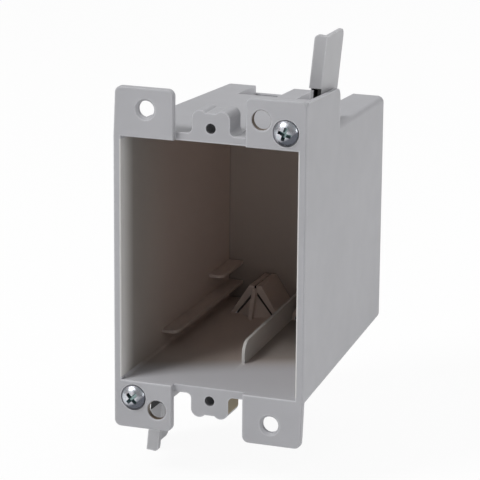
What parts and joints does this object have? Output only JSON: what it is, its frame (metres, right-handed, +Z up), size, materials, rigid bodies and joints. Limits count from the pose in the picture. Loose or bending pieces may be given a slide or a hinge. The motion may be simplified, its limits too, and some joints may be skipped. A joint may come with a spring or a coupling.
{
  "type": "drywall back box",
  "caption": "Tapered grey plastic single-gang wiring box for a cut-in plasterboard wall, with front ears, screw-driven swing wings, device bosses and hooded cable entries.",
  "frame": {"origin": "centre of the opening, on the wall surface plane where the backs of the ears bear", "axes": "+X to the right seen from the room, +Y into the wall along the box depth, +Z up; the front faces -Y"},
  "size_m": [0.0598, 0.0886, 0.135],
  "materials": {
    "grey_moulding": "fine satin moulded surface",
    "grey_wing": "fine satin moulded surface",
    "zinc_steel": "bright zinc plating"
  },
  "bodies": {
    "box": {"box_body": "grey_moulding"},
    "upper_screw": {"upper_screw": "zinc_steel"},
    "upper_wing": {"upper_wing": "grey_wing"},
    "lower_screw": {"lower_screw": "zinc_steel"},
    "lower_wing": {"lower_wing": "grey_wing"}
  },
  "joints": [
    {"name": "upper_clamp_swing", "type": "hinge", "parent": "box", "child": "upper_screw", "pos_m": [0.0237, 0, 0.0427], "axis": [0, -1, 0], "range_deg": [0, 95.7]},
    {"name": "upper_wing_travel", "type": "slide", "parent": "upper_screw", "child": "upper_wing", "axis": [0, 1, 0], "range_m": [-0.0107, 0.0105]},
    {"name": "lower_clamp_swing", "type": "hinge", "parent": "box", "child": "lower_screw", "pos_m": [-0.0237, 0, -0.0427], "axis": [0, -1, 0], "range_deg": [0, 95.7]},
    {"name": "lower_wing_travel", "type": "slide", "parent": "lower_screw", "child": "lower_wing", "axis": [0, 1, 0], "range_m": [-0.0107, 0.0105]}
  ]
}
